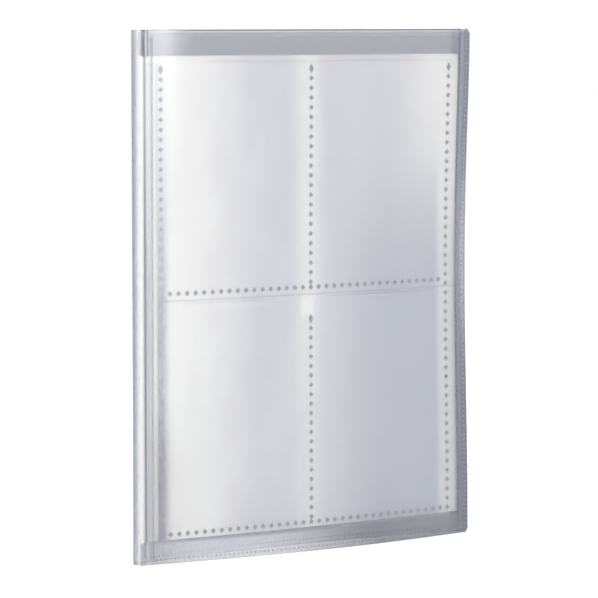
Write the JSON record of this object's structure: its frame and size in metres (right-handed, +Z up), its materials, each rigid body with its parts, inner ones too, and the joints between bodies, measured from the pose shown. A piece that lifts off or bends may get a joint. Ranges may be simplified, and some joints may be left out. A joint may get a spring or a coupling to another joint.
{
  "type": "display book",
  "caption": "Clear plastic display book that stands closed: folded cover with welded overlays, and a stack of pocket leaves with dotted weld seams, hinged along the spine.",
  "frame": {"origin": "bottom centre of the closed book's box, on the surface that it stands on", "axes": "+X from the spine to the fore-edge, +Y from the front cover to the back cover, +Z up along the spine"},
  "size_m": [0.235, 0.0264, 0.31],
  "materials": {
    "cover_clear": "clear glossy sheet, faintly grey",
    "overlay_clear": "clear glossy film",
    "pocket_film": "clear film with a milky, slightly mottled face",
    "weld": "melted film, hazy grey"
  },
  "bodies": {
    "spine": {"spine": "cover_clear", "binding_weld": "weld"},
    "front_cover": {"front_cover": "cover_clear", "front_overlay": "overlay_clear", "front_overlay_welds": "weld"},
    "back_cover": {"back_cover": "cover_clear", "back_overlay": "overlay_clear", "back_overlay_welds": "weld"},
    "leaf_1": {"leaf_1_rear_film": "pocket_film", "leaf_1_upper_pocket": "pocket_film", "leaf_1_lower_pocket": "pocket_film", "leaf_1_weld_dots": "weld"},
    "leaf_2": {"leaf_2_rear_film": "pocket_film", "leaf_2_upper_pocket": "pocket_film", "leaf_2_lower_pocket": "pocket_film", "leaf_2_weld_dots": "weld"},
    "leaf_3": {"leaf_3_rear_film": "pocket_film", "leaf_3_upper_pocket": "pocket_film", "leaf_3_lower_pocket": "pocket_film", "leaf_3_weld_dots": "weld"},
    "leaf_4": {"leaf_4_rear_film": "pocket_film", "leaf_4_upper_pocket": "pocket_film", "leaf_4_lower_pocket": "pocket_film", "leaf_4_weld_dots": "weld"},
    "leaf_5": {"leaf_5_rear_film": "pocket_film", "leaf_5_upper_pocket": "pocket_film", "leaf_5_lower_pocket": "pocket_film", "leaf_5_weld_dots": "weld"},
    "leaf_6": {"leaf_6_rear_film": "pocket_film", "leaf_6_upper_pocket": "pocket_film", "leaf_6_lower_pocket": "pocket_film", "leaf_6_weld_dots": "weld"}
  },
  "joints": [
    {"name": "front_cover_hinge", "type": "hinge", "parent": "spine", "child": "front_cover", "pos_m": [-0.1163, -0.00365, 0.155], "axis": [0, 0, -1], "range_deg": [0, 165]},
    {"name": "back_cover_hinge", "type": "hinge", "parent": "spine", "child": "back_cover", "pos_m": [-0.1163, 0.00365, 0.155], "axis": [0, 0, 1], "range_deg": [0, 165]},
    {"name": "leaf_1_turn", "type": "hinge", "parent": "spine", "child": "leaf_1", "pos_m": [-0.11382, -0.00213, 0.155], "axis": [0, 0, -1], "range_deg": [0, 90]},
    {"name": "leaf_2_turn", "type": "hinge", "parent": "spine", "child": "leaf_2", "pos_m": [-0.11382, -0.00128, 0.155], "axis": [0, 0, -1], "range_deg": [0, 64]},
    {"name": "leaf_3_turn", "type": "hinge", "parent": "spine", "child": "leaf_3", "pos_m": [-0.11382, -0.00042, 0.155], "axis": [0, 0, -1], "range_deg": [0, 38]},
    {"name": "leaf_6_turn", "type": "hinge", "parent": "spine", "child": "leaf_6", "pos_m": [-0.11382, 0.00213, 0.155], "axis": [0, 0, 1], "range_deg": [0, 90]},
    {"name": "leaf_5_turn", "type": "hinge", "parent": "spine", "child": "leaf_5", "pos_m": [-0.11382, 0.00128, 0.155], "axis": [0, 0, 1], "range_deg": [0, 64]},
    {"name": "leaf_4_turn", "type": "hinge", "parent": "spine", "child": "leaf_4", "pos_m": [-0.11382, 0.00042, 0.155], "axis": [0, 0, 1], "range_deg": [0, 38]}
  ],
  "couplings": [
    {"joint": "leaf_1_turn", "follows": "front_cover_hinge", "ratio": 0.53333},
    {"joint": "leaf_2_turn", "follows": "front_cover_hinge", "ratio": 0.37576},
    {"joint": "leaf_3_turn", "follows": "front_cover_hinge", "ratio": 0.21818},
    {"joint": "leaf_6_turn", "follows": "back_cover_hinge", "ratio": 0.53333},
    {"joint": "leaf_5_turn", "follows": "back_cover_hinge", "ratio": 0.37576},
    {"joint": "leaf_4_turn", "follows": "back_cover_hinge", "ratio": 0.21818}
  ]
}
